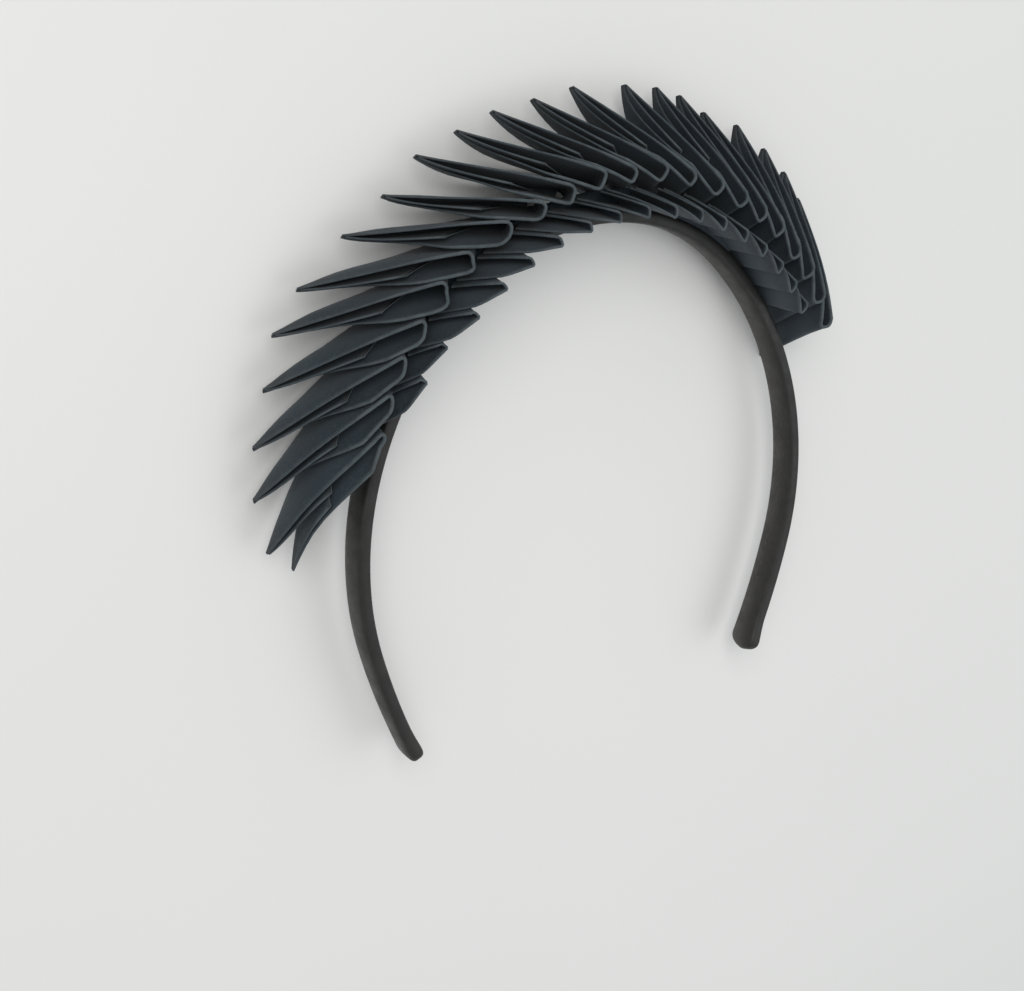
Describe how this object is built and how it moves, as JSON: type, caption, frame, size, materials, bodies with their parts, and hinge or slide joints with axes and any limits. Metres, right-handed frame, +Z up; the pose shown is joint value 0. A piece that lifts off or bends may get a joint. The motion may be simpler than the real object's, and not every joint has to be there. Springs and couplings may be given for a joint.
{
  "type": "origami headpiece",
  "caption": "Rigid open headband carrying two overlapping rows of folded-paper units whose pointed tips fan backwards as a spiky crest.",
  "frame": {"origin": "middle of the outline on the surface that the part lies on, at the lowest point", "axes": "+Z up from the surface, which is towards the back of the head when worn; +Y towards the crown; +X across the head, to the side that the tips point away from"},
  "size_m": [0.1654, 0.167, 0.0287],
  "materials": {
    "paper": "matte dark slate paper, slightly lighter along its folds and cut edges",
    "band": "satin grey-brown plastic with lightly worn edges"
  },
  "bodies": {
    "root": {"headband": "band", "outer_unit_1": "paper", "outer_unit_2": "paper", "outer_unit_3": "paper", "outer_unit_4": "paper", "outer_unit_5": "paper", "outer_unit_6": "paper", "outer_unit_7": "paper", "outer_unit_8": "paper", "outer_unit_9": "paper", "outer_unit_10": "paper", "outer_unit_11": "paper", "outer_unit_12": "paper", "outer_unit_13": "paper", "outer_unit_14": "paper", "outer_unit_15": "paper", "outer_unit_16": "paper", "outer_unit_17": "paper", "outer_unit_18": "paper", "outer_unit_19": "paper", "outer_unit_20": "paper", "outer_unit_21": "paper", "inner_unit_1": "paper", "inner_unit_2": "paper", "inner_unit_3": "paper", "inner_unit_4": "paper", "inner_unit_5": "paper", "inner_unit_6": "paper", "inner_unit_7": "paper", "inner_unit_8": "paper", "inner_unit_9": "paper", "inner_unit_10": "paper", "inner_unit_11": "paper", "inner_unit_12": "paper", "inner_unit_13": "paper", "inner_unit_14": "paper", "inner_unit_15": "paper", "inner_unit_16": "paper", "inner_unit_17": "paper"}
  },
  "joints": []
}
